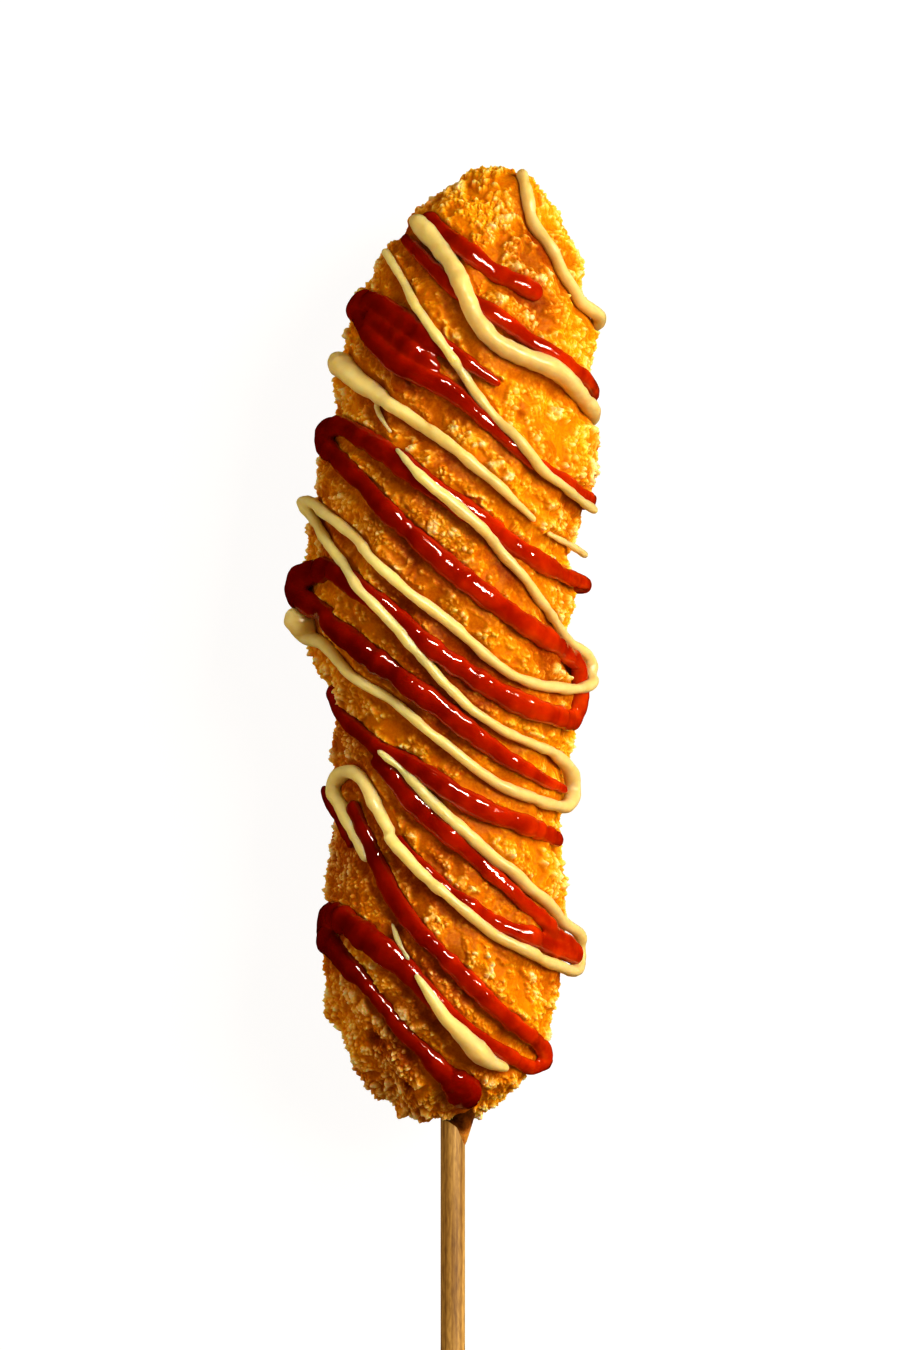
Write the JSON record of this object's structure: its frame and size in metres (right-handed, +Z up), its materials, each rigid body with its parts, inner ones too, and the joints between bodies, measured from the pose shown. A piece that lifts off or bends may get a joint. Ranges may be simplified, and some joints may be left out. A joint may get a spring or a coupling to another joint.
{
  "type": "corn dog",
  "caption": "Crumbed corn dog on a wooden skewer, lying on its side, drizzled with zigzags of ketchup and mustard.",
  "frame": {"origin": "under the middle of the whole length and width, on the surface that the food lies on", "axes": "+Y from the skewer's free end to the food's tip, +Z up to the drizzled side, +X across to the right as seen from above with the tip away"},
  "size_m": [0.0533, 0.2385, 0.0443],
  "materials": {
    "crust": "matte",
    "wood": "matte"
  },
  "bodies": {
    "root": {"crusted_sausage": "crust", "skewer": "wood"}
  },
  "joints": []
}
